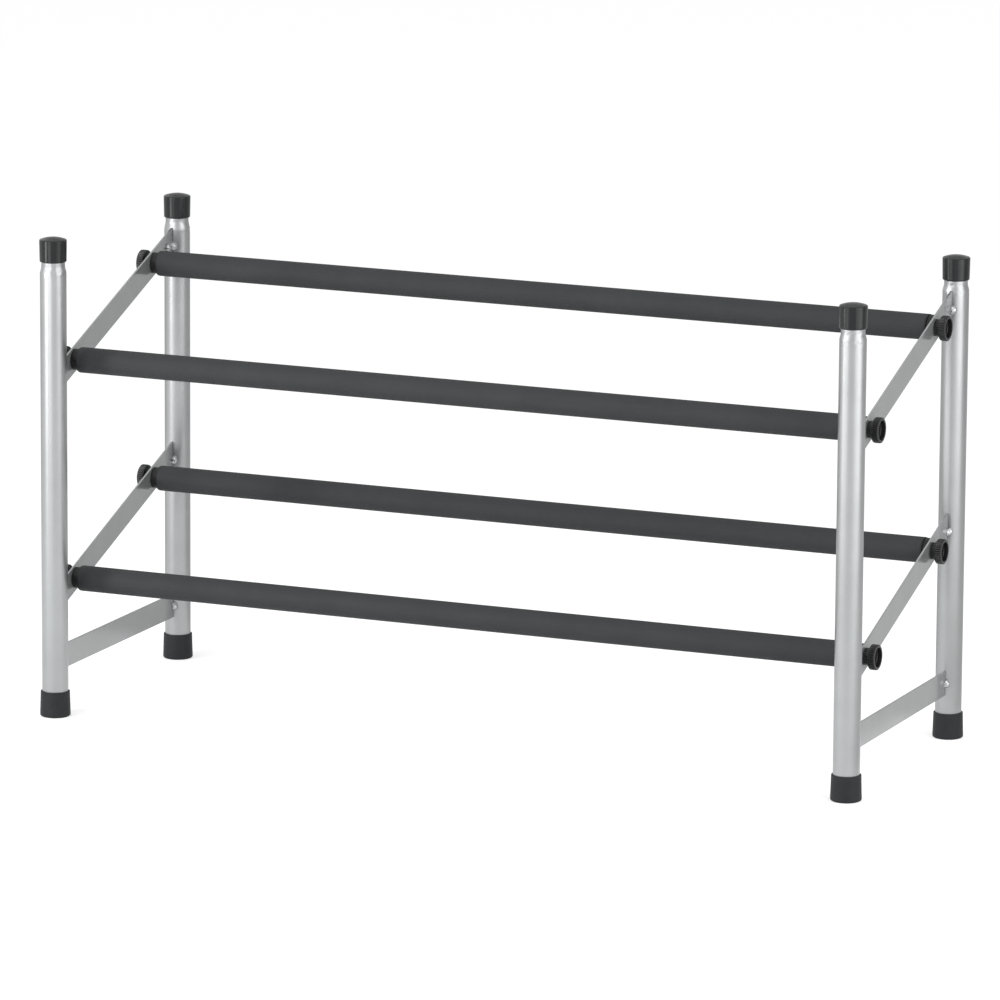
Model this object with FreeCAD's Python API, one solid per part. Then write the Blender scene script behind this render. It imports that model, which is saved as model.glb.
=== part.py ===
import FreeCAD, Part
import math
import os

# Pull-out shoe rack. Two end frames of round legs, flat shelf bars and a base bar carry two
# sloping tiers of two rails each. Every rail is an outer tube fixed to the left frame and an
# inner tube fixed to the right frame, so the right frame pulls out along +X. Thumb knobs
# outside the shelf bars screw into threaded inserts in the rail ends.
# X runs across the rack (left is -X), Y runs to the back, Z is up. The origin is on the
# floor, in the middle of the closed rack. All sizes are in millimetres.

# Driving dimensions of the whole rack, closed
HEIGHT = 360.0
FRAME_SPACING = 626.0         # between the centre planes of the two end frames
LEG_SPACING = 212.0           # between the centre lines of a frame's two legs
TIER_SPACING = 165.0
TRAVEL = 500.0                # how far the right frame pulls out

# Legs
LEG_RADIUS = 9.75
TUBE_WALL = 0.8
NECK_RADIUS = 8.65            # the leg's top is drawn in to this radius to take the cap
NECK_START = 333.0
NECK_END = 339.0
LEG_BOTTOM = 3.0
LEG_TOP = 356.5

# Caps and feet, with a thin clearance on the tube that they are pushed on
PUSH_FIT = 0.02
CAP_BOTTOM = 341.6
CAP_BOTTOM_RADIUS = 9.9
CAP_TOP_RADIUS = 10.2
CAP_DOME = 2.0
CAP_TOP_ROUNDING = 0.9
CAP_BOTTOM_ROUNDING = 0.9
FOOT_HEIGHT = 19.2
FOOT_TOP_RADIUS = 10.85
FOOT_BOTTOM_RADIUS = 11.4
FOOT_TOP_ROUNDING = 0.6
FOOT_BOTTOM_ROUNDING = 1.5

# Flat bars of the end frames
BAR_THICKNESS = 1.5
BAR_WIDTH = 18.5
BAR_EDGE_ROUNDING = 0.3
BAR_END_GAP = 0.3             # between a bar's end and the leg, bridged by the weld beads
SHELF_SLOPE = 0.37            # rise of a shelf bar per unit of depth, front to back
LOWER_SHELF_HEIGHT = 124.6    # of the lower shelf bar's centre line, at mid depth
BASE_BAR_HEIGHT = 42.3
STUD_HOLE_RADIUS = 3.3
WELD_RADIUS = 2.8
WELD_STANDOFF = 1.4           # of a weld bead's centre from the bar's middle plane
SHELF_WELD_DROP = 4.0         # of a shelf bar's beads below its centre line

# Rails
FRONT_RAIL_DEPTH = -72.0
BACK_RAIL_DEPTH = 64.0
OUTER_RADIUS = 9.5
INNER_RADIUS = 8.0
OUTER_TUBE_GAP = 6.8          # from the left frame's plane to the outer tube's end
MOUTH_GAP = 4.6               # from the right frame's plane to the outer tube's mouth, closed
SLEEVE_LENGTH = 40.0
SLEEVE_LIP = 1.2
SLEEVE_LIP_ROUNDING = 0.3
SLEEVE_CLEARANCE = 0.06
FLARE_LENGTH = 16.0           # the inner tube's tail is flared to run in the outer tube
FLARE_TAPER = 5.0
FLARE_CLEARANCE = 0.08
END_CLEARANCE = 0.4           # left between flare and sleeve when fully pulled out

# Rail-end plugs and their threaded inserts
COLLAR_RADIUS = 7.8
SHOULDER_RADIUS = 9.4
SHOULDER_LENGTH = 1.8
SHOULDER_ROUNDING = 1.2
FLANGE_RADIUS = 9.15
FLANGE_LENGTH = 3.4
FLANGE_ROUNDING = 0.5
PLUG_DEPTH = 22.0
PLUG_BORE_RADIUS = 3.3
PLUG_BORE_DEPTH = 17.0
INSERT_RADIUS = 4.5
INSERT_LENGTH = 12.0
INSERT_BORE_RADIUS = 3.05

# Knobs and their studs
KNOB_GAP = 0.1
NECK_LENGTH = 4.0
KNOB_NECK_RADIUS = 6.25
HEAD_RADIUS = 9.25
HEAD_LENGTH = 5.4
HEAD_ROUNDING = 0.9
RECESS_RADIUS = 7.1
RECESS_DEPTH = 3.5
RIB_COUNT = 34
RIB_GROOVE_RADIUS = 0.5
KNOB_BORE_RADIUS = 3.05
STUD_RADIUS = 3.0
STUD_REACH = 14.5             # from the bar's outer face to the stud's tip
STUD_IN_KNOB = 4.8
STUD_CHAMFER = 0.7

FRAME_X = FRAME_SPACING / 2
LEG_Y = LEG_SPACING / 2
BAR_REACH = LEG_Y - LEG_RADIUS - BAR_END_GAP
BAR_FACE = BAR_THICKNESS / 2
LEFT, RIGHT = -1, 1
SIDES = {"left": LEFT, "right": RIGHT}
DEPTHS = {"front": -LEG_Y, "back": LEG_Y}
TIERS = {"lower": LOWER_SHELF_HEIGHT, "upper": LOWER_SHELF_HEIGHT + TIER_SPACING}
RAIL_DEPTHS = {"front": FRONT_RAIL_DEPTH, "back": BACK_RAIL_DEPTH}
UP = FreeCAD.Vector(0, 0, 1)


def point(radius, height):
    """A profile point: distance from the turning axis, and distance along it."""
    return FreeCAD.Vector(radius, 0, height)


def turned(outline):
    """A solid turned around the Z axis from a closed outline of points and ready-made edges."""
    edges = []
    last = None
    for item in outline:
        if isinstance(item, FreeCAD.Vector):
            start, end = item, item
        else:
            start, end = item.valueAt(item.FirstParameter), item.valueAt(item.LastParameter)
        if last is not None and not last.isEqual(start, 1e-7):
            edges.append(Part.makeLine(last, start))
        if not isinstance(item, FreeCAD.Vector):
            edges.append(item)
        last = end
    first = edges[0].valueAt(edges[0].FirstParameter)
    if not last.isEqual(first, 1e-7):
        edges.append(Part.makeLine(last, first))
    face = Part.Face(Part.Wire(edges))
    return face.revolve(FreeCAD.Vector(0, 0, 0), UP, 360)


def s_bend(start, end):
    """Two equal tangent arcs that lead from one radius to another along the turning axis."""
    step_r = end.x - start.x
    step_h = end.z - start.z
    radius = (step_r ** 2 + step_h ** 2) / (4 * abs(step_r))
    quarter = math.asin(abs(step_h) / (2 * radius)) / 2
    aside = math.copysign(radius * (1 - math.cos(quarter)), step_r)
    along = math.copysign(radius * math.sin(quarter), step_h)
    middle = (start + end) * 0.5
    first = Part.Arc(start, start + point(aside, along), middle).toShape()
    second = Part.Arc(middle, end - point(aside, along), end).toShape()
    return [first, second]


def rounded(shape, size, rims):
    """Fillet the circular edges of a turned solid that lie at the given (radius, height)."""
    chosen = []
    for edge in shape.Edges:
        if edge.Degenerated or not isinstance(edge.Curve, Part.Circle):
            continue
        for radius, height in rims:
            same_radius = abs(edge.Curve.Radius - radius) < 1e-4
            if same_radius and abs(edge.Curve.Center.z - height) < 1e-4:
                chosen.append(edge)
    return shape.makeFillet(size, chosen)


def placed(shape, origin, direction=UP):
    """Copy a turned solid so that its turning axis starts at origin and runs along direction."""
    copy = shape.copy()
    turn = FreeCAD.Rotation(UP, direction)
    copy.Placement = FreeCAD.Placement(origin, turn)
    return copy


def tube(outer, inner, length):
    """A plain tube along the turning axis."""
    corners = [point(inner, 0), point(outer, 0), point(outer, length), point(inner, length)]
    return turned(corners)


def export(name, shape):
    """Write one node's STEP file."""
    shape.exportStep("parts/" + name + ".step")


# ------------------------------------------------------------------ end frame pieces
def make_leg():
    """A thin round tube whose top is drawn in to a neck, centred on the Z axis."""
    inner = LEG_RADIUS - TUBE_WALL
    inner_neck = NECK_RADIUS - TUBE_WALL
    outside = s_bend(point(LEG_RADIUS, NECK_START), point(NECK_RADIUS, NECK_END))
    inside = s_bend(point(inner_neck, NECK_END), point(inner, NECK_START))
    outline = [point(inner, LEG_BOTTOM), point(LEG_RADIUS, LEG_BOTTOM)] + outside
    outline += [point(NECK_RADIUS, LEG_TOP), point(inner_neck, LEG_TOP)] + inside
    return turned(outline)


def make_cap():
    """A closed cup over the neck, slightly wider at its domed top."""
    bore = NECK_RADIUS + PUSH_FIT
    shoulder = HEIGHT - CAP_DOME
    dome = Part.Arc(
        point(CAP_TOP_RADIUS, shoulder),
        point(CAP_TOP_RADIUS / 2, HEIGHT - CAP_DOME / 4),
        point(0, HEIGHT),
    ).toShape()
    outline = [
        point(0, LEG_TOP),
        point(bore, LEG_TOP),
        point(bore, CAP_BOTTOM),
        point(CAP_BOTTOM_RADIUS, CAP_BOTTOM),
        dome,
    ]
    cap = turned(outline)
    cap = rounded(cap, CAP_TOP_ROUNDING, [(CAP_TOP_RADIUS, shoulder)])
    return rounded(cap, CAP_BOTTOM_ROUNDING, [(CAP_BOTTOM_RADIUS, CAP_BOTTOM)])


def make_foot():
    """A closed cup under the leg, slightly wider at the floor."""
    bore = LEG_RADIUS + PUSH_FIT
    outline = [
        point(0, 0),
        point(FOOT_BOTTOM_RADIUS, 0),
        point(FOOT_TOP_RADIUS, FOOT_HEIGHT),
        point(bore, FOOT_HEIGHT),
        point(bore, LEG_BOTTOM),
        point(0, LEG_BOTTOM),
    ]
    foot = turned(outline)
    foot = rounded(foot, FOOT_BOTTOM_ROUNDING, [(FOOT_BOTTOM_RADIUS, 0)])
    return rounded(foot, FOOT_TOP_ROUNDING, [(FOOT_TOP_RADIUS, FOOT_HEIGHT)])


def bar_height(middle, slope, depth):
    """Height of a flat bar's centre line at a given depth."""
    return middle + slope * depth


def make_bar(side, middle, slope, hole_depths):
    """A flat bar between the two legs of a frame, with a hole for each knob's stud."""
    half_height = BAR_WIDTH / 2 * math.hypot(1, slope)
    start_x = side * FRAME_X - BAR_FACE
    corners = []
    for depth, edge in ((-BAR_REACH, -1), (BAR_REACH, -1), (BAR_REACH, 1), (-BAR_REACH, 1)):
        height = bar_height(middle, slope, depth) + edge * half_height
        corners.append(FreeCAD.Vector(start_x, depth, height))
    outline = Part.makePolygon(corners + corners[:1])
    bar = Part.Face(outline).extrude(FreeCAD.Vector(BAR_THICKNESS, 0, 0))
    long_edges = []
    for edge in bar.Edges:
        span = edge.BoundBox
        if span.YLength > BAR_REACH:
            long_edges.append(edge)
    bar = bar.makeFillet(BAR_EDGE_ROUNDING, long_edges)
    for depth in hole_depths:
        centre = FreeCAD.Vector(start_x, depth, bar_height(middle, slope, depth))
        hole = Part.makeCylinder(STUD_HOLE_RADIUS, BAR_THICKNESS, centre, FreeCAD.Vector(1, 0, 0))
        bar = bar.cut(hole)
    return bar


def make_bead(side, end, face, height):
    """A tack weld bead in the corner between one face of a bar and the leg at its end."""
    frame_x = side * FRAME_X
    centre = FreeCAD.Vector(frame_x + face * WELD_STANDOFF, end * BAR_REACH, height)
    leg_foot = FreeCAD.Vector(frame_x, end * LEG_Y, 0)
    slab_x = frame_x + min(face * BAR_FACE, -face * WELD_RADIUS)
    bead = Part.makeSphere(WELD_RADIUS, centre)
    leg = Part.makeCylinder(LEG_RADIUS, HEIGHT, leg_foot)
    slab = Part.makeBox(
        BAR_FACE + WELD_RADIUS, LEG_SPACING, HEIGHT, FreeCAD.Vector(slab_x, -LEG_Y, 0)
    )
    return bead.cut(slab).cut(leg)


def make_welds(side, bars):
    """Beads on both faces at both ends of each bar.

    Each bar is given as the height of its line of beads at mid depth, and its slope.
    """
    beads = []
    for middle, slope in bars:
        for end in (-1, 1):
            height = bar_height(middle, slope, end * BAR_REACH)
            for face in (-1, 1):
                beads.append(make_bead(side, end, face, height))
    return Part.makeCompound(beads)


# ------------------------------------------------------------------ rail pieces
def make_outer_tube():
    """Outer rail tube, from the left plug's shoulder to the lip of the guide sleeve."""
    length = FRAME_SPACING - OUTER_TUBE_GAP - MOUTH_GAP - SLEEVE_LIP
    return tube(OUTER_RADIUS, OUTER_RADIUS - TUBE_WALL, length)


def make_sleeve():
    """Plastic guide sleeve in the outer tube's mouth; its lip starts at height zero."""
    body = OUTER_RADIUS - TUBE_WALL - PUSH_FIT
    bore = INNER_RADIUS + SLEEVE_CLEARANCE
    outline = [
        point(bore, 0),
        point(OUTER_RADIUS, 0),
        point(OUTER_RADIUS, SLEEVE_LIP),
        point(body, SLEEVE_LIP),
        point(body, SLEEVE_LENGTH),
        point(bore, SLEEVE_LENGTH),
    ]
    return rounded(turned(outline), SLEEVE_LIP_ROUNDING, [(OUTER_RADIUS, 0)])


def inner_tube_length():
    """The inner tube's flare meets the guide sleeve just past the end of the travel."""
    flange_end = FLANGE_LENGTH + BAR_FACE
    sleeve_inner_end = MOUTH_GAP + SLEEVE_LENGTH
    return sleeve_inner_end + TRAVEL + END_CLEARANCE + FLARE_LENGTH - flange_end


def make_inner_tube():
    """Inner rail tube, from the right plug's flange at height zero to its flared tail."""
    length = inner_tube_length()
    flare = OUTER_RADIUS - TUBE_WALL - FLARE_CLEARANCE
    flare_start = length - FLARE_LENGTH
    flare_full = flare_start + FLARE_TAPER
    outside = s_bend(point(INNER_RADIUS, flare_start), point(flare, flare_full))
    inside = s_bend(
        point(flare - TUBE_WALL, flare_full), point(INNER_RADIUS - TUBE_WALL, flare_start)
    )
    outline = [point(INNER_RADIUS - TUBE_WALL, 0), point(INNER_RADIUS, 0)] + outside
    outline += [point(flare, length), point(flare - TUBE_WALL, length)] + inside
    return turned(outline)


def bored_for_insert(plug):
    """Seat for the threaded insert, then a clearance bore for the stud's tip."""
    seat = Part.makeCylinder(INSERT_RADIUS, INSERT_LENGTH)
    bore = Part.makeCylinder(PLUG_BORE_RADIUS, PLUG_BORE_DEPTH)
    return plug.cut(seat).cut(bore)


def make_left_plug():
    """Plug of the outer tube: a slim collar, a round shoulder and the body in the tube."""
    collar = OUTER_TUBE_GAP - SHOULDER_LENGTH - BAR_FACE
    shoulder_end = collar + SHOULDER_LENGTH
    body = OUTER_RADIUS - TUBE_WALL - PUSH_FIT
    outline = [
        point(0, 0),
        point(COLLAR_RADIUS, 0),
        point(COLLAR_RADIUS, collar),
        point(SHOULDER_RADIUS, collar),
        point(SHOULDER_RADIUS, shoulder_end),
        point(body, shoulder_end),
        point(body, PLUG_DEPTH),
        point(0, PLUG_DEPTH),
    ]
    plug = rounded(turned(outline), SHOULDER_ROUNDING, [(SHOULDER_RADIUS, collar)])
    return bored_for_insert(plug)


def make_right_plug():
    """Plug of the inner tube: a wide flange that closes the outer tube's mouth."""
    body = INNER_RADIUS - TUBE_WALL - PUSH_FIT
    outline = [
        point(0, 0),
        point(FLANGE_RADIUS, 0),
        point(FLANGE_RADIUS, FLANGE_LENGTH),
        point(body, FLANGE_LENGTH),
        point(body, PLUG_DEPTH),
        point(0, PLUG_DEPTH),
    ]
    rims = [(FLANGE_RADIUS, 0), (FLANGE_RADIUS, FLANGE_LENGTH)]
    plug = rounded(turned(outline), FLANGE_ROUNDING, rims)
    return bored_for_insert(plug)


# ------------------------------------------------------------------ knob pieces
def make_head():
    """Ribbed knob head with rounded rims, from height NECK_LENGTH outwards."""
    outline = [
        point(0, NECK_LENGTH),
        point(HEAD_RADIUS, NECK_LENGTH),
        point(HEAD_RADIUS, NECK_LENGTH + HEAD_LENGTH),
        point(0, NECK_LENGTH + HEAD_LENGTH),
    ]
    rims = [(HEAD_RADIUS, NECK_LENGTH), (HEAD_RADIUS, NECK_LENGTH + HEAD_LENGTH)]
    head = rounded(turned(outline), HEAD_ROUNDING, rims)
    grooves = []
    for index in range(RIB_COUNT):
        angle = 2 * math.pi * index / RIB_COUNT
        foot = FreeCAD.Vector(HEAD_RADIUS * math.cos(angle), HEAD_RADIUS * math.sin(angle), 0)
        grooves.append(Part.makeCylinder(RIB_GROOVE_RADIUS, NECK_LENGTH + HEAD_LENGTH, foot))
    return head.cut(Part.makeCompound(grooves))


def make_knob():
    """Thumb knob: neck against the bar, ribbed head, recessed outer face, blind stud bore."""
    neck = Part.makeCylinder(KNOB_NECK_RADIUS, NECK_LENGTH)
    recess_floor = NECK_LENGTH + HEAD_LENGTH - RECESS_DEPTH
    recess = Part.makeCylinder(RECESS_RADIUS, RECESS_DEPTH, FreeCAD.Vector(0, 0, recess_floor))
    bore = Part.makeCylinder(KNOB_BORE_RADIUS, STUD_IN_KNOB + KNOB_GAP)
    return neck.fuse(make_head()).removeSplitter().cut(recess).cut(bore)


def make_stud():
    """Steel stud from its tip at height zero to its end inside the knob."""
    length = STUD_REACH + KNOB_GAP + STUD_IN_KNOB
    outline = [
        point(0, 0),
        point(STUD_RADIUS - STUD_CHAMFER, 0),
        point(STUD_RADIUS, STUD_CHAMFER),
        point(STUD_RADIUS, length),
        point(0, length),
    ]
    return turned(outline)


# ------------------------------------------------------------------ assembly
def export_frames():
    """Legs, caps, feet, bars and welds of both end frames."""
    uprights = {"leg": make_leg(), "cap": make_cap(), "foot": make_foot()}
    for side_name, side in SIDES.items():
        for depth_name, depth in DEPTHS.items():
            for kind, shape in uprights.items():
                piece = placed(shape, FreeCAD.Vector(side * FRAME_X, depth, 0))
                export(side_name + "_" + depth_name + "_" + kind, piece)
        for tier_name, middle in TIERS.items():
            bar = make_bar(side, middle, SHELF_SLOPE, RAIL_DEPTHS.values())
            export(side_name + "_" + tier_name + "_shelf_bar", bar)
        export(side_name + "_base_bar", make_bar(side, BASE_BAR_HEIGHT, 0, ()))
        weld_lines = [(middle - SHELF_WELD_DROP, SHELF_SLOPE) for middle in TIERS.values()]
        weld_lines.append((BASE_BAR_HEIGHT, 0))
        export(side_name + "_tack_welds", make_welds(side, weld_lines))


def rail_axes():
    """Name, depth and height of each rail's centre line."""
    axes = []
    for tier_name, middle in TIERS.items():
        for depth_name, depth in RAIL_DEPTHS.items():
            name = tier_name + "_" + depth_name
            axes.append((name, depth, bar_height(middle, SHELF_SLOPE, depth)))
    return axes


def export_rails():
    """Outer and inner tubes, guide sleeves, plugs, threaded inserts, knobs and studs."""
    outer_tube = make_outer_tube()
    inner_tube = make_inner_tube()
    sleeve = make_sleeve()
    plugs = {LEFT: make_left_plug(), RIGHT: make_right_plug()}
    insert = tube(INSERT_RADIUS - PUSH_FIT, INSERT_BORE_RADIUS, INSERT_LENGTH)
    knob = make_knob()
    stud = make_stud()
    inserts = {LEFT: [], RIGHT: []}
    inwards = {LEFT: FreeCAD.Vector(1, 0, 0), RIGHT: FreeCAD.Vector(-1, 0, 0)}
    for name, depth, height in rail_axes():
        outer_start = FreeCAD.Vector(-FRAME_X + OUTER_TUBE_GAP, depth, height)
        mouth = FreeCAD.Vector(FRAME_X - MOUTH_GAP, depth, height)
        inner_start = FreeCAD.Vector(FRAME_X - BAR_FACE - FLANGE_LENGTH, depth, height)
        export(name + "_outer_tube", placed(outer_tube, outer_start, inwards[LEFT]))
        export(name + "_guide_sleeve", placed(sleeve, mouth, inwards[RIGHT]))
        export(name + "_inner_tube", placed(inner_tube, inner_start, inwards[RIGHT]))
        for side_name, side in SIDES.items():
            inner_face = FreeCAD.Vector(side * (FRAME_X - BAR_FACE), depth, height)
            knob_face = FreeCAD.Vector(side * (FRAME_X + BAR_FACE + KNOB_GAP), depth, height)
            stud_tip = FreeCAD.Vector(side * (FRAME_X + BAR_FACE - STUD_REACH), depth, height)
            outwards = inwards[-side]
            export(name + "_" + side_name + "_plug", placed(plugs[side], inner_face, inwards[side]))
            export(name + "_" + side_name + "_knob", placed(knob, knob_face, outwards))
            export(name + "_" + side_name + "_stud", placed(stud, stud_tip, outwards))
            inserts[side].append(placed(insert, inner_face, inwards[side]))
    for side_name, side in SIDES.items():
        export(side_name + "_threaded_inserts", Part.makeCompound(inserts[side]))


os.makedirs("parts", exist_ok=True)
export_frames()
export_rails()
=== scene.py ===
import bmesh
import bpy
import math
from mathutils import Matrix, Vector, noise


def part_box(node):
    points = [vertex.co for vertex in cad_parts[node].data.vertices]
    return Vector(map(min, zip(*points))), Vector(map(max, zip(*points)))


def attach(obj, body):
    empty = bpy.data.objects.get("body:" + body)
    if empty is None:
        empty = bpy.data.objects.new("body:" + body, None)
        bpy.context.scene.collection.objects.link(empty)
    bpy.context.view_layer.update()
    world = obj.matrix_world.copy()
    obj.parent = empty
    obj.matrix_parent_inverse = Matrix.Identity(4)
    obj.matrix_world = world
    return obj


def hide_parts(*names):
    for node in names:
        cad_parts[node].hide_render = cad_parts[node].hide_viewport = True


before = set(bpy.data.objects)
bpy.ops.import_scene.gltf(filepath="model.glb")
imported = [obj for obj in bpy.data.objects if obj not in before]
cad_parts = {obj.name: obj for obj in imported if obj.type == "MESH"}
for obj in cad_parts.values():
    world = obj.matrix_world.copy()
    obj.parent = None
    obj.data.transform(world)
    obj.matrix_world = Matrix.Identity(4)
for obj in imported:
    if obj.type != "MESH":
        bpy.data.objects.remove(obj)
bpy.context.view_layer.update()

# Pull-out shoe rack. All sizes are in metres, in the CAD frame: +X across the rack to the
# frame that pulls out, +Y to the back, +Z up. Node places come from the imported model.
MM = 0.001

# Meshes
TUBE_SEGMENTS = 96
ROUNDING_STEPS = 5
SHARP_ANGLE = 35              # an edge between faces that turn by more degrees stays sharp
BEAD_SHARP_ANGLE = 80
KNOB_SHARP_ANGLE = 60
STUD_SHARP_ANGLE = 50

# Tubes
LEG_RADIUS = 9.75 * MM
NECK_RADIUS = 8.65 * MM
NECK_START = 333.0 * MM
NECK_END = 339.0 * MM
OUTER_RADIUS = 9.5 * MM
INNER_RADIUS = 8.0 * MM
FLARE_RADIUS = 8.62 * MM
FLARE_LENGTH = 16.0 * MM
FLARE_TAPER = 5.0 * MM
FLARE_STEPS = 12
TUBE_WALL = 0.8 * MM
CUT_EDGE = 0.15 * MM          # rounding of a tube's cut ends

# Dents that the swaging tool leaves in a leg's neck
DENT_DEPTH = 0.3 * MM
DENT_SIZE = 3.2 * MM
DENT_FADE = 4.0 * MM
DENT_BULGE = 0.1              # the most that the surface bulges out, as a share of the depth
NECK_ROW = 0.5 * MM

# Flat bars
BARS = ("lower_shelf_bar", "upper_shelf_bar", "base_bar")
BAR_WIDTH = 18.5 * MM
SHELF_SLOPE = 0.37

# Weld beads
BEAD_STANDOFF = 1.1 * MM      # of a bead's middle from the bar's middle plane
BEAD_RADII = (3.5 * MM, 3.4 * MM, 3.5 * MM)
BEAD_DROP = 4.0 * MM          # of a shelf bar's beads below its centre line
BEAD_SUBDIVISIONS = 5
BEAD_VARIATION = 0.16         # of the size from bead to bead, at most this share
BEAD_SEED_STEP = 1.37         # noise cells to a millimetre between beads
STRAY_BEAD_RADII = (2.1 * MM, 2.9 * MM, 2.9 * MM)
STRAY_BEAD_STANDOFF = 0.6 * MM      # of its middle from the left upper bar's face
STRAY_BEAD_STEP = 9.0 * MM          # along the bar, from the bead at its back end
RIPPLE_HEIGHT = 0.07 * MM
RIPPLE_PITCH = 1.1 * MM
RIPPLE_OFFSET = 1.4 * MM      # of the ripples' centre below the bead's
LUMPS = ((0.6 * MM, 3.4 * MM), (0.1 * MM, 1.1 * MM))       # (height, size) of its uneven form

# Knobs, measured along the screw axis from the bar's face
KNOB_NECK_LENGTH = 4.0 * MM
KNOB_NECK_RADIUS = 6.25 * MM
KNOB_NECK_ROUNDING = 0.4 * MM
HEAD_RADIUS = 9.25 * MM
HEAD_LENGTH = 5.4 * MM
HEAD_BACK_ROUNDING = 0.9 * MM
HEAD_RIM_ROUNDING = 0.8 * MM
RECESS_RADIUS = 7.1 * MM
RECESS_DEPTH = 3.5 * MM
RECESS_RIM_ROUNDING = 0.25 * MM
RECESS_FLOOR_ROUNDING = 0.5 * MM
KNOB_BORE_RADIUS = 3.05 * MM
KNOB_BORE_DEPTH = 4.9 * MM
KNOB_BORE_ROUNDING = 0.2 * MM
RIB_COUNT = 34
RIB_DEPTH = 0.5 * MM
STEPS_PER_RIB = 8

# Studs, measured along the screw axis from the tip
STUD_RADIUS = 3.0 * MM
STUD_CHAMFER = 0.7 * MM
STUD_SEGMENTS = 36
THREAD_PITCH = 1.0 * MM
THREAD_DEPTH = 0.55 * MM
THREAD_FLAT = 0.1             # flat share of the way from crest to root, at each of them
ROWS_PER_PITCH = 10

# Camera, solved from the outlines of the legs and rails, with its angles in radians
IMAGE_WIDTH = 1000
FOCAL_PIXELS = 7972
SENSOR_WIDTH = 36.0
CAMERA_PLACE = (2.2391, -5.2732, 1.3718)
CAMERA_YAW = 0.4017
CAMERA_PITCH = 0.2067
CAMERA_ROLL = 0.0065

SIDES = {"left": -1, "right": 1}
DEPTHS = ("front", "back")
TIERS = ("lower", "upper")
RAILS = [tier + "_" + depth for tier in TIERS for depth in DEPTHS]
ALONG = Vector((1, 0, 0))
UP = Vector((0, 0, 1))


# ------------------------------------------------------------------ mesh building
def rounded_outline(corners):
    """Points of a closed outline of (radius, height, rounding) corners."""
    points = []
    for index, (radius, height, rounding) in enumerate(corners):
        corner = Vector((radius, height))
        if rounding == 0:
            points.append(corner)
            continue
        to_last = (Vector(corners[index - 1][:2]) - corner).normalized()
        to_next = (Vector(corners[(index + 1) % len(corners)][:2]) - corner).normalized()
        half_angle = to_last.angle(to_next) / 2
        tangent = rounding / math.tan(half_angle)
        middle = corner + (to_last + to_next).normalized() * (rounding / math.sin(half_angle))
        start = (corner + to_last * tangent - middle).normalized()
        end = (corner + to_next * tangent - middle).normalized()
        for step in range(ROUNDING_STEPS + 1):
            points.append(middle + start.slerp(end, step / ROUNDING_STEPS) * rounding)
    return points


def turned_mesh(name, outline, segments, reshape=None):
    """A closed mesh turned about the Z axis from a closed outline of (radius, height) points.

    Points on the axis become single vertices. reshape(angle, radius, height) may give each
    vertex another radius.
    """
    mesh = bmesh.new()
    rings = []
    for radius, height in outline:
        if radius == 0:
            rings.append([mesh.verts.new((0, 0, height))])
            continue
        ring = []
        for index in range(segments):
            angle = 2 * math.pi * index / segments
            here = reshape(angle, radius, height) if reshape else radius
            ring.append(mesh.verts.new((here * math.cos(angle), here * math.sin(angle), height)))
        rings.append(ring)
    for index, ring in enumerate(rings):
        after = rings[(index + 1) % len(rings)]
        if len(ring) == 1 and len(after) == 1:
            continue
        for step in range(segments):
            along = (step + 1) % segments
            if len(ring) == 1:
                mesh.faces.new((ring[0], after[along], after[step]))
            elif len(after) == 1:
                mesh.faces.new((ring[step], ring[along], after[0]))
            else:
                mesh.faces.new((ring[step], ring[along], after[along], after[step]))
    bmesh.ops.recalc_face_normals(mesh, faces=mesh.faces)
    data = bpy.data.meshes.new(name)
    mesh.to_mesh(data)
    mesh.free()
    return data


def add_turned_piece(name, data, origin, direction, material, body, node, sharp=SHARP_ANGLE):
    """Add a turned mesh with its axis at origin along direction, in place of its CAD node."""
    turn = UP.rotation_difference(direction).to_matrix().to_4x4()
    data.transform(Matrix.Translation(origin) @ turn)
    add_piece(name, data, material, body, node, sharp)


def add_piece(name, data, material, body, node, sharp):
    """Add a mesh as a smooth-shaded piece that rides on a body and replaces a CAD node."""
    for face in data.polygons:
        face.use_smooth = True
    data.set_sharp_from_angle(angle=math.radians(sharp))
    data.materials.append(material)
    piece = bpy.data.objects.new(name, data)
    bpy.context.scene.collection.objects.link(piece)
    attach(piece, body)
    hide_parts(node)


def middle_of(node):
    """Middle of a CAD node's box."""
    low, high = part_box(node)
    return (low + high) / 2


def on_axis(node, x):
    """The point at x on the line along X through a CAD node's middle."""
    middle = middle_of(node)
    return Vector((x, middle.y, middle.z))


# ------------------------------------------------------------------ materials
COAT_GLOSS_SPREAD = 0.025     # of the roughness, above and below its middle value
PLASTIC_GLOSS_SPREAD = 0.04


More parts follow.
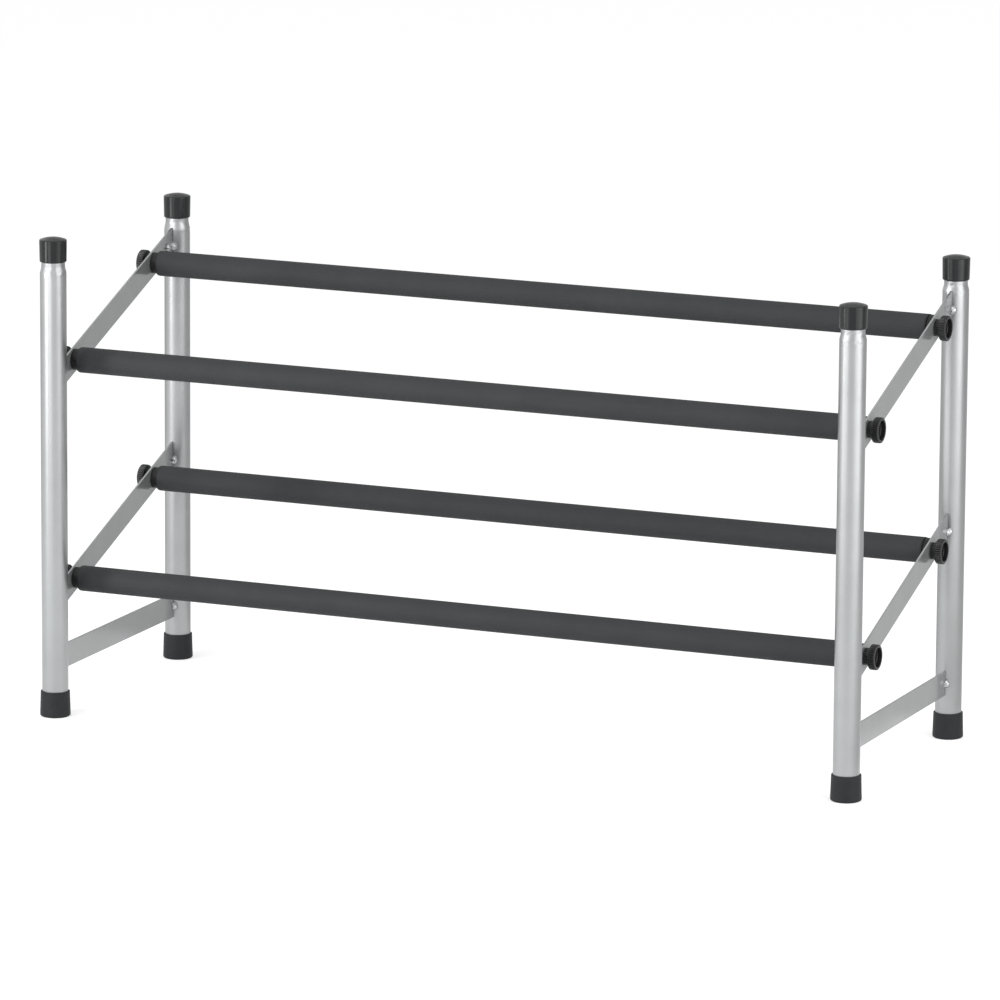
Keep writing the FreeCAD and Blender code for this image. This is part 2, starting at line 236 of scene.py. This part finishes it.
class Recipe:
    """A procedural material, with its Principled shader and a few short node helpers."""

    def __init__(self, name):
        self.material = bpy.data.materials.new(name)
        self.material.use_nodes = True
        self.tree = self.material.node_tree
        self.shader = self.tree.nodes["Principled BSDF"]
        self.place = self.tree.nodes.new("ShaderNodeTexCoord").outputs["Object"]

    def link(self, output, target):
        """Link an output socket to an input socket."""
        self.tree.links.new(output, target)

    def stretched(self, factors):
        """Object coordinates multiplied along each axis."""
        node = self.tree.nodes.new("ShaderNodeMapping")
        node.inputs["Scale"].default_value = factors
        self.link(self.place, node.inputs["Vector"])
        return node.outputs["Vector"]

    def noise(self, size, detail=2, place=None):
        """Noise whose features are about size metres across."""
        node = self.tree.nodes.new("ShaderNodeTexNoise")
        node.inputs["Scale"].default_value = 1 / size
        node.inputs["Detail"].default_value = detail
        self.link(place or self.place, node.inputs["Vector"])
        return node.outputs["Fac"]

    def flakes(self, size):
        """A random number for each cell about size metres across."""
        node = self.tree.nodes.new("ShaderNodeTexVoronoi")
        node.inputs["Scale"].default_value = 1 / size
        self.link(self.place, node.inputs["Vector"])
        split = self.tree.nodes.new("ShaderNodeSeparateColor")
        self.link(node.outputs["Color"], split.inputs["Color"])
        return split.outputs["Red"]

    def spread(self, value, low, high, start=0.3, end=0.7):
        """A value taken from start..end to low..high."""
        node = self.tree.nodes.new("ShaderNodeMapRange")
        node.inputs["From Min"].default_value = start
        node.inputs["From Max"].default_value = end
        node.inputs["To Min"].default_value = low
        node.inputs["To Max"].default_value = high
        self.link(value, node.inputs["Value"])
        return node.outputs["Result"]

    def add(self, first, second):
        """The sum of two values."""
        node = self.tree.nodes.new("ShaderNodeMath")
        node.operation = "ADD"
        self.link(first, node.inputs[0])
        self.link(second, node.inputs[1])
        return node.outputs["Value"]

    def shades(self, value, dark, light):
        """A colour between dark and light."""
        node = self.tree.nodes.new("ShaderNodeMix")
        node.data_type = "RGBA"
        node.inputs["A"].default_value = (*dark, 1)
        node.inputs["B"].default_value = (*light, 1)
        self.link(value, node.inputs["Factor"])
        return node.outputs["Result"]

    def bump(self, height, depth, under=None):
        """A bump of the given depth in metres, on top of another bump if one is given."""
        node = self.tree.nodes.new("ShaderNodeBump")
        node.inputs["Distance"].default_value = depth
        self.link(height, node.inputs["Height"])
        if under:
            self.link(under, node.inputs["Normal"])
        return node.outputs["Normal"]

    def finish(self, colour, roughness, normal, metallic=0.0, specular=0.5):
        """Feed the shader and return the material."""
        self.link(colour, self.shader.inputs["Base Color"])
        self.link(roughness, self.shader.inputs["Roughness"])
        self.link(normal, self.shader.inputs["Normal"])
        self.shader.inputs["Metallic"].default_value = metallic
        self.shader.inputs["Specular IOR Level"].default_value = specular
        return self.material


def silver_coat(name, rough, metallic, dark, light):
    """Satin silver powder coat: mottled, with fine flakes and a slight orange peel."""
    recipe = Recipe(name)
    mottle = recipe.noise(26 * MM, detail=3)
    flakes = recipe.flakes(0.28 * MM)
    both = recipe.add(recipe.spread(mottle, 0, 0.55),
                      recipe.spread(flakes, 0, 0.45, start=0, end=1))
    colour = recipe.shades(both, dark, light)
    gloss = recipe.noise(9 * MM)
    roughness = recipe.spread(gloss, rough - COAT_GLOSS_SPREAD, rough + COAT_GLOSS_SPREAD)
    peel = recipe.bump(recipe.noise(1.1 * MM, detail=1), 0.012 * MM)
    normal = recipe.bump(recipe.noise(0.3 * MM, detail=1), 0.005 * MM, peel)
    return recipe.finish(colour, roughness, normal, metallic=metallic)


def rail_coat(name, dark, light):
    """Matte dark grey coating of the rails: fine grain, faint lengthwise streaks."""
    recipe = Recipe(name)
    streaks = recipe.noise(0.9 * MM, place=recipe.stretched((0.02, 1, 1)))
    cloud = recipe.noise(30 * MM, detail=3)
    both = recipe.add(recipe.spread(streaks, 0, 0.4), recipe.spread(cloud, 0, 0.6))
    colour = recipe.shades(both, dark, light)
    roughness = recipe.spread(recipe.noise(5 * MM), 0.6, 0.7)
    grain = recipe.bump(recipe.noise(0.35 * MM), 0.012 * MM)
    normal = recipe.bump(streaks, 0.006 * MM, grain)
    return recipe.finish(colour, roughness, normal, specular=0.12)


def moulded_plastic(name, rough, specular, dark, light):
    """Moulded plastic with a fine spark-eroded grain and slightly uneven gloss."""
    recipe = Recipe(name)
    cloud = recipe.noise(11 * MM, detail=3)
    colour = recipe.shades(recipe.spread(cloud, 0, 1), dark, light)
    gloss = recipe.noise(3 * MM)
    roughness = recipe.spread(gloss, rough - PLASTIC_GLOSS_SPREAD, rough + PLASTIC_GLOSS_SPREAD)
    grain = recipe.bump(recipe.noise(0.25 * MM), 0.014 * MM)
    normal = recipe.bump(recipe.noise(4 * MM, detail=1), 0.02 * MM, grain)
    return recipe.finish(colour, roughness, normal, specular=specular)


def zinc_plate(name, dark, light):
    """Bright zinc plate: faint turning lines and clouded gloss."""
    recipe = Recipe(name)
    cloud = recipe.noise(1.8 * MM, detail=3)
    colour = recipe.shades(recipe.spread(cloud, 0, 1), dark, light)
    roughness = recipe.spread(recipe.noise(0.9 * MM), 0.24, 0.38)
    lines = recipe.noise(0.12 * MM, detail=1, place=recipe.stretched((1, 0.1, 0.1)))
    return recipe.finish(colour, roughness, recipe.bump(lines, 0.004 * MM), metallic=1.0)


LEG_SILVER = silver_coat("silver_powder_coat", rough=0.37, metallic=0.9,
                         dark=(0.361, 0.37, 0.372), light=(0.41, 0.42, 0.4225))
# The weld beads' coat is the legs' powder coat made lighter as painted highlight, standing in for
# part of their bright glints, and made glossier
LIT_BEAD_SILVER = silver_coat("silver_weld_coat_painted_highlight", rough=0.25, metallic=0.85,
                          dark=(0.405, 0.414, 0.416), light=(0.46, 0.47, 0.472))
# The bars' coat is the legs' powder coat made a little darker as painted shade, with a smoother,
# less metallic gloss of its own
SHADED_BAR_SILVER = silver_coat("silver_bar_coat_painted_shade", rough=0.17, metallic=0.58,
                         dark=(0.333, 0.3425, 0.3435), light=(0.3765, 0.388, 0.389))
RAIL_GREY = rail_coat("matte_rail_coat",
                      dark=(0.0445, 0.0475, 0.0495), light=(0.053, 0.0565, 0.0585))
CAP_PLASTIC = moulded_plastic("satin_cap_plastic", rough=0.2, specular=0.32,
                              dark=(0.009, 0.0105, 0.011), light=(0.013, 0.0145, 0.015))
FOOT_PLASTIC = moulded_plastic("matte_foot_plastic", rough=0.55, specular=0.2,
                               dark=(0.019, 0.021, 0.0225), light=(0.024, 0.026, 0.0275))
KNOB_PLASTIC = moulded_plastic("black_knob_plastic", rough=0.28, specular=0.38,
                               dark=(0.011, 0.011, 0.012), light=(0.0155, 0.0155, 0.0165))
PLUG_PLASTIC = moulded_plastic("black_plug_plastic", rough=0.5, specular=0.2,
                               dark=(0.017, 0.017, 0.018), light=(0.023, 0.023, 0.024))
ZINC = zinc_plate("zinc_plate", dark=(0.42, 0.43, 0.42), light=(0.52, 0.53, 0.53))


# ------------------------------------------------------------------ end frames
def neck_outline(wall):
    """Rows down a leg's neck at the given wall depth, from the top down, closely spaced."""
    rows = []
    low = NECK_START - DENT_FADE
    high = NECK_END + DENT_FADE
    count = round((high - low) / NECK_ROW)
    for step in range(count + 1):
        height = high - (high - low) * step / count
        share = min(max((height - NECK_START) / (NECK_END - NECK_START), 0), 1)
        swage = (1 - math.cos(math.pi * share)) / 2
        radius = LEG_RADIUS + (NECK_RADIUS - LEG_RADIUS) * swage
        rows.append(Vector((radius - wall, height)))
    return rows


def make_leg(side, depth):
    """Leg tube with a dented neck under the cap."""
    node = side + "_" + depth + "_leg"
    low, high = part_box(node)
    bottom = rounded_outline([
        (LEG_RADIUS - TUBE_WALL, low.z, CUT_EDGE),
        (LEG_RADIUS, low.z, CUT_EDGE),
        (LEG_RADIUS, high.z, 0),
        (LEG_RADIUS - TUBE_WALL, high.z, 0),
    ])[:-2]
    top = rounded_outline([
        (NECK_RADIUS, low.z, 0),
        (NECK_RADIUS, high.z, CUT_EDGE),
        (NECK_RADIUS - TUBE_WALL, high.z, CUT_EDGE),
        (NECK_RADIUS - TUBE_WALL, low.z, 0),
    ])[1:-1]
    outline = bottom + neck_outline(0)[::-1] + top + neck_outline(TUBE_WALL)
    middle = middle_of(node)
    seed = middle / MM

    def dented(angle, radius, height):
        """Radius with the neck's dents, which fade out above and below it."""
        inside = min(height - (NECK_START - DENT_FADE), NECK_END + DENT_FADE - height)
        strength = min(max(inside / DENT_FADE, 0), 1)
        if strength == 0:
            return radius
        around = Vector((math.cos(angle), math.sin(angle), 0)) * LEG_RADIUS
        spot = (around + Vector((0, 0, height))) / DENT_SIZE + seed
        return radius + DENT_DEPTH * strength * min(noise.noise(spot), DENT_BULGE)

    data = turned_mesh(node + "_tube", outline, TUBE_SEGMENTS, dented)
    origin = Vector((middle.x, middle.y, 0))
    add_turned_piece(node + "_tube", data, origin, UP, LEG_SILVER, side + "_frame",
                     node)


def bar_end_height(side, bar, end):
    """Height of a bar's centre line at its front (-1) or back (1) end."""
    low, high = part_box(side + "_" + bar)
    slope = 0 if bar == "base_bar" else SHELF_SLOPE
    half_width = BAR_WIDTH / 2 * math.hypot(1, slope)
    return high.z - half_width if end > 0 else low.z + half_width


def add_bead(mesh, centre, radii, outwards, seed):
    """One lumpy weld bead with arcs of ripples on its outward side."""
    ball = bmesh.ops.create_icosphere(mesh, subdivisions=BEAD_SUBDIVISIONS, radius=1)
    for vertex in ball["verts"]:
        away = vertex.co.normalized()
        surface = Vector((away.x * radii[0], away.y * radii[1], away.z * radii[2]))
        ring = math.hypot(surface.y, surface.z + RIPPLE_OFFSET)
        height = RIPPLE_HEIGHT * max(away.x * outwards, 0)
        ripple = height * math.cos(2 * math.pi * ring / RIPPLE_PITCH)
        lump = sum(rise * noise.noise(surface / size + seed) for rise, size in LUMPS)
        vertex.co = centre + surface + away * (ripple + lump)


def make_weld_beads(side):
    """Tack welds at both ends of the three bars, on both faces, and a stray one at the left."""
    node = side + "_tack_welds"
    mesh = bmesh.new()
    for bar in BARS:
        low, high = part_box(side + "_" + bar)
        for end, end_y in ((-1, low.y), (1, high.y)):
            height = bar_end_height(side, bar, end) - (0 if bar == "base_bar" else BEAD_DROP)
            for outwards in (-1, 1):
                x = (low.x + high.x) / 2 + outwards * BEAD_STANDOFF
                centre = Vector((x, end_y, height))
                seed = centre / MM * BEAD_SEED_STEP
                size = 1 + BEAD_VARIATION * noise.noise(seed)
                radii = [radius * size for radius in BEAD_RADII]
                add_bead(mesh, centre, radii, outwards, seed)
            if side == "left" and bar == "upper_shelf_bar" and end > 0:
                place = Vector((high.x + STRAY_BEAD_STANDOFF, end_y - STRAY_BEAD_STEP, height))
                add_bead(mesh, place, STRAY_BEAD_RADII, 1, place / MM)
    data = bpy.data.meshes.new(node)
    mesh.to_mesh(data)
    mesh.free()
    add_piece(side + "_weld_beads", data, LIT_BEAD_SILVER, side + "_frame", node,
              BEAD_SHARP_ANGLE)


# ------------------------------------------------------------------ rails
def make_outer_tube(rail):
    """Outer tube of a rail, a plain tube with slightly rounded cut ends."""
    node = rail + "_outer_tube"
    low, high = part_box(node)
    length = high.x - low.x
    inside = OUTER_RADIUS - TUBE_WALL
    outline = rounded_outline([
        (inside, 0, CUT_EDGE),
        (OUTER_RADIUS, 0, CUT_EDGE),
        (OUTER_RADIUS, length, CUT_EDGE),
        (inside, length, CUT_EDGE),
    ])
    data = turned_mesh(node, outline, TUBE_SEGMENTS)
    add_turned_piece(rail + "_sleeve_tube", data, on_axis(node, low.x), ALONG, RAIL_GREY,
                     "left_frame", node)


def make_inner_tube(rail):
    """Inner tube of a rail, from its flared tail at height zero."""
    node = rail + "_inner_tube"
    low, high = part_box(node)
    length = high.x - low.x
    taper = []
    for step in range(FLARE_STEPS + 1):
        share = step / FLARE_STEPS
        radius = FLARE_RADIUS + (INNER_RADIUS - FLARE_RADIUS) * (1 - math.cos(math.pi * share)) / 2
        taper.append(Vector((radius, FLARE_LENGTH - FLARE_TAPER * (1 - share))))
    tail = rounded_outline([
        (FLARE_RADIUS - TUBE_WALL, 0, CUT_EDGE),
        (FLARE_RADIUS, 0, CUT_EDGE),
        (FLARE_RADIUS, length, 0),
        (FLARE_RADIUS - TUBE_WALL, length, 0),
    ])[:-2]
    head = rounded_outline([
        (INNER_RADIUS, 0, 0),
        (INNER_RADIUS, length, CUT_EDGE),
        (INNER_RADIUS - TUBE_WALL, length, CUT_EDGE),
        (INNER_RADIUS - TUBE_WALL, 0, 0),
    ])[1:-1]
    inside = [Vector((point.x - TUBE_WALL, point.y)) for point in reversed(taper)]
    data = turned_mesh(node, tail + taper + head + inside, TUBE_SEGMENTS)
    add_turned_piece(rail + "_slide_tube", data, on_axis(node, low.x), ALONG, RAIL_GREY,
                     "right_frame", node)


# ------------------------------------------------------------------ knobs
def ribbed(angle, radius, height):
    """Rounded ribs around a knob's head, which fade out towards its rims and recess."""
    depth = radius - (HEAD_RADIUS - 2 * RIB_DEPTH)
    if height < KNOB_NECK_LENGTH or depth < 0:
        return radius
    share = min(depth / (2 * RIB_DEPTH), 1)
    groove = (1 - math.cos(RIB_COUNT * angle)) / 2
    return radius - RIB_DEPTH * share * groove ** 2


def make_knob(rail, side):
    """Ribbed thumb knob with a recessed face."""
    node = rail + "_" + side + "_knob"
    low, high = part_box(node)
    end = KNOB_NECK_LENGTH + HEAD_LENGTH
    floor = end - RECESS_DEPTH
    outline = rounded_outline([
        (KNOB_BORE_RADIUS, 0, KNOB_BORE_ROUNDING),
        (KNOB_NECK_RADIUS, 0, KNOB_NECK_ROUNDING),
        (KNOB_NECK_RADIUS, KNOB_NECK_LENGTH, KNOB_NECK_ROUNDING),
        (HEAD_RADIUS, KNOB_NECK_LENGTH, HEAD_BACK_ROUNDING),
        (HEAD_RADIUS, end, HEAD_RIM_ROUNDING),
        (RECESS_RADIUS, end, RECESS_RIM_ROUNDING),
        (RECESS_RADIUS, floor, RECESS_FLOOR_ROUNDING),
        (0, floor, 0),
        (0, KNOB_BORE_DEPTH, 0),
        (KNOB_BORE_RADIUS, KNOB_BORE_DEPTH, 0),
    ])
    data = turned_mesh(node, outline, RIB_COUNT * STEPS_PER_RIB, ribbed)
    origin = on_axis(node, low.x if side == "right" else high.x)
    add_turned_piece(rail + "_" + side + "_thumb_knob", data, origin, ALONG * SIDES[side],
                     KNOB_PLASTIC, node + "_body", node, KNOB_SHARP_ANGLE)


def threaded(angle, radius, height):
    """Helical thread on the stud's outside."""
    if radius < STUD_RADIUS - STUD_CHAMFER - THREAD_DEPTH:
        return radius
    turn = (height / THREAD_PITCH - angle / (2 * math.pi)) % 1
    groove = 1 - abs(2 * turn - 1)
    share = min(max((groove - THREAD_FLAT) / (1 - 2 * THREAD_FLAT), 0), 1)
    return min(radius, STUD_RADIUS - THREAD_DEPTH * share)


def make_stud(rail, side):
    """Threaded stud from its chamfered tip at height zero."""
    node = rail + "_" + side + "_stud"
    low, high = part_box(node)
    length = high.x - low.x
    outline = [Vector((0, 0)), Vector((STUD_RADIUS - STUD_CHAMFER, 0))]
    rows = round(length / THREAD_PITCH * ROWS_PER_PITCH)
    for row in range(1, rows + 1):
        height = length * row / rows
        outline.append(Vector((min(STUD_RADIUS, STUD_RADIUS - STUD_CHAMFER + height), height)))
    outline.append(Vector((0, length)))
    data = turned_mesh(node, outline, STUD_SEGMENTS, threaded)
    origin = on_axis(node, low.x if side == "right" else high.x)
    add_turned_piece(rail + "_" + side + "_threaded_stud", data, origin, ALONG * SIDES[side],
                     ZINC, node + "_body", node, STUD_SHARP_ANGLE)


# ------------------------------------------------------------------ the rack
def dress_node(node, material):
    """Give a kept CAD node its material."""
    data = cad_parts[node].data
    data.materials.clear()
    data.materials.append(material)


def dress_rack():
    """Replace or finish every node."""
    for side in SIDES:
        for depth in DEPTHS:
            make_leg(side, depth)
            dress_node(side + "_" + depth + "_cap", CAP_PLASTIC)
            dress_node(side + "_" + depth + "_foot", FOOT_PLASTIC)
        make_weld_beads(side)
        for bar in BARS:
            dress_node(side + "_" + bar, SHADED_BAR_SILVER)
        dress_node(side + "_threaded_inserts", ZINC)
    for rail in RAILS:
        make_outer_tube(rail)
        make_inner_tube(rail)
        dress_node(rail + "_guide_sleeve", PLUG_PLASTIC)
        for side in SIDES:
            dress_node(rail + "_" + side + "_plug", PLUG_PLASTIC)
            make_knob(rail, side)
            make_stud(rail, side)


# ------------------------------------------------------------------ studio
STAGE_COLOUR = (0.8, 0.8, 0.8)
FLOOR_SIZE = 30.0
FLOOR_HEIGHT = -0.05 * MM     # keeps its face apart from the undersides of the feet
FLOOR_GLOW = 0.52             # seen by the camera and in reflections only, it lights nothing
WORLD_LIGHT = 0.58
BACKGROUND = 1.0

# The card's ground starts a little way behind and to the right of the closed rack
CARD_GROUND = ((-2.4, 0.16), (0.37, 0.16), (0.37, -0.14), (3.2, -0.5), (3.2, 3.2), (-2.4, 3.2))
CARD_BASE = 0.5 * MM          # height of its ground
CARD_HEIGHT = 3.4
CARD_GLOW = 0.12

# Softboxes, as name, degrees from the camera's bearing, distance, width in degrees, radiance
SOFTBOX_HEIGHT = 1.5
SOFTBOXES = (
    ("left_key", -67, 1.5, 10, 7.8),
    ("left_fill", -40, 1.5, 18, 2.95),
    ("right_fill", 49, 1.4, 46, 1.65),
    ("right_rim", 57, 1.35, 17, 0.95),
)
CAMERA_BEARING = math.atan2(CAMERA_PLACE[1], CAMERA_PLACE[0])


def seen_directly(tree):
    """1 for camera, glossy and transmission rays, else 0."""
    path = tree.nodes.new("ShaderNodeLightPath")
    total = path.outputs["Is Camera Ray"]
    for name in ("Is Glossy Ray", "Is Transmission Ray"):
        node = tree.nodes.new("ShaderNodeMath")
        node.operation = "MAXIMUM"
        tree.links.new(total, node.inputs[0])
        tree.links.new(path.outputs[name], node.inputs[1])
        total = node.outputs["Value"]
    return total


def make_world():
    """White to look at and in reflections, dimmer as a light."""
    world = bpy.data.worlds.new("studio")
    world.use_nodes = True
    tree = world.node_tree
    background = tree.nodes["Background"]
    background.inputs["Color"].default_value = (1, 1, 1, 1)
    strength = tree.nodes.new("ShaderNodeMix")
    strength.inputs["A"].default_value = WORLD_LIGHT
    strength.inputs["B"].default_value = BACKGROUND
    tree.links.new(seen_directly(tree), strength.inputs["Factor"])
    tree.links.new(strength.outputs["Result"], background.inputs["Strength"])
    bpy.context.scene.world = world


def matte_material(name):
    """A matte pale material and its shader, which can be made to glow white."""
    material = bpy.data.materials.new(name)
    material.use_nodes = True
    shader = material.node_tree.nodes["Principled BSDF"]
    shader.inputs["Base Color"].default_value = (*STAGE_COLOUR, 1)
    shader.inputs["Roughness"].default_value = 1.0
    shader.inputs["Specular IOR Level"].default_value = 0.0
    shader.inputs["Emission Color"].default_value = (1, 1, 1, 1)
    return material, shader


def add_surface(name, corners, faces, material):
    """Add an object of the given corners and faces."""
    data = bpy.data.meshes.new(name)
    data.from_pydata(corners, [], faces)
    data.materials.append(material)
    surface = bpy.data.objects.new(name, data)
    bpy.context.scene.collection.objects.link(surface)
    return surface


def make_floor():
    """A large pale floor that keeps the rack's shadow."""
    material, shader = matte_material("pale_floor")
    tree = material.node_tree
    glow = tree.nodes.new("ShaderNodeMath")
    glow.operation = "MULTIPLY"
    glow.inputs[1].default_value = FLOOR_GLOW
    tree.links.new(seen_directly(tree), glow.inputs[0])
    tree.links.new(glow.outputs["Value"], shader.inputs["Emission Strength"])
    half = FLOOR_SIZE / 2
    square = ((-half, -half), (half, -half), (half, half), (-half, half))
    corners = [(x, y, FLOOR_HEIGHT) for x, y in square]
    floor = add_surface("floor", corners, [(0, 1, 2, 3)], material)


def make_card():
    """A grey card behind the rack and to its right, seen only in reflections.

    It has a ground in two faces, a wall at the ground's right edge and one at its back edge.
    """
    material, shader = matte_material("grey_card")
    shader.inputs["Emission Strength"].default_value = CARD_GLOW
    ground = [(x, y, CARD_BASE) for x, y in CARD_GROUND]
    wall_tops = [(x, y, CARD_HEIGHT) for x, y in CARD_GROUND[3:]]
    faces = [(0, 1, 4, 5), (1, 2, 3, 4), (3, 6, 7, 4), (4, 7, 8, 5)]
    card = add_surface("card", ground + wall_tops, faces, material)
    card.visible_camera = False
    card.visible_diffuse = False
    card.visible_shadow = False


def make_softbox(name, turn, distance, spread, radiance):
    """An upright softbox on the floor that faces the rack, turned from the camera's bearing.

    turn and spread, its width seen from the rack, are in degrees.
    """
    lamp = bpy.data.lights.new(name, "AREA")
    lamp.shape = "RECTANGLE"
    lamp.size = 2 * distance * math.tan(math.radians(spread / 2))
    lamp.size_y = SOFTBOX_HEIGHT
    lamp.energy = radiance * math.pi * lamp.size * lamp.size_y
    bearing = CAMERA_BEARING + math.radians(turn)
    away = Vector((math.cos(bearing), math.sin(bearing), 0))
    holder = bpy.data.objects.new(name, lamp)
    holder.location = away * distance + UP * SOFTBOX_HEIGHT / 2
    holder.rotation_mode = "QUATERNION"
    holder.rotation_quaternion = (-away).to_track_quat("-Z", "Y")
    holder.visible_camera = False
    bpy.context.scene.collection.objects.link(holder)


def make_camera():
    """Camera at the solved place, with its roll."""
    cos_pitch = math.cos(CAMERA_PITCH)
    forwards = Vector((-math.sin(CAMERA_YAW) * cos_pitch, math.cos(CAMERA_YAW) * cos_pitch,
                       -math.sin(CAMERA_PITCH)))
    level = Vector((math.cos(CAMERA_YAW), math.sin(CAMERA_YAW), 0))
    upright = level.cross(forwards)
    turn = Matrix.Rotation(-CAMERA_ROLL, 3, forwards)
    right = turn @ level
    above = turn @ upright
    data = bpy.data.cameras.new("camera")
    data.sensor_width = SENSOR_WIDTH
    data.lens = FOCAL_PIXELS / IMAGE_WIDTH * SENSOR_WIDTH
    camera = bpy.data.objects.new("camera", data)
    axes = Matrix((right, above, -forwards)).transposed().to_4x4()
    camera.matrix_world = Matrix.Translation(CAMERA_PLACE) @ axes
    bpy.context.scene.collection.objects.link(camera)
    bpy.context.scene.camera = camera


dress_rack()
make_world()
make_floor()
make_card()
for softbox in SOFTBOXES:
    make_softbox(*softbox)
make_camera()
bpy.context.scene.view_settings.view_transform = "Standard"
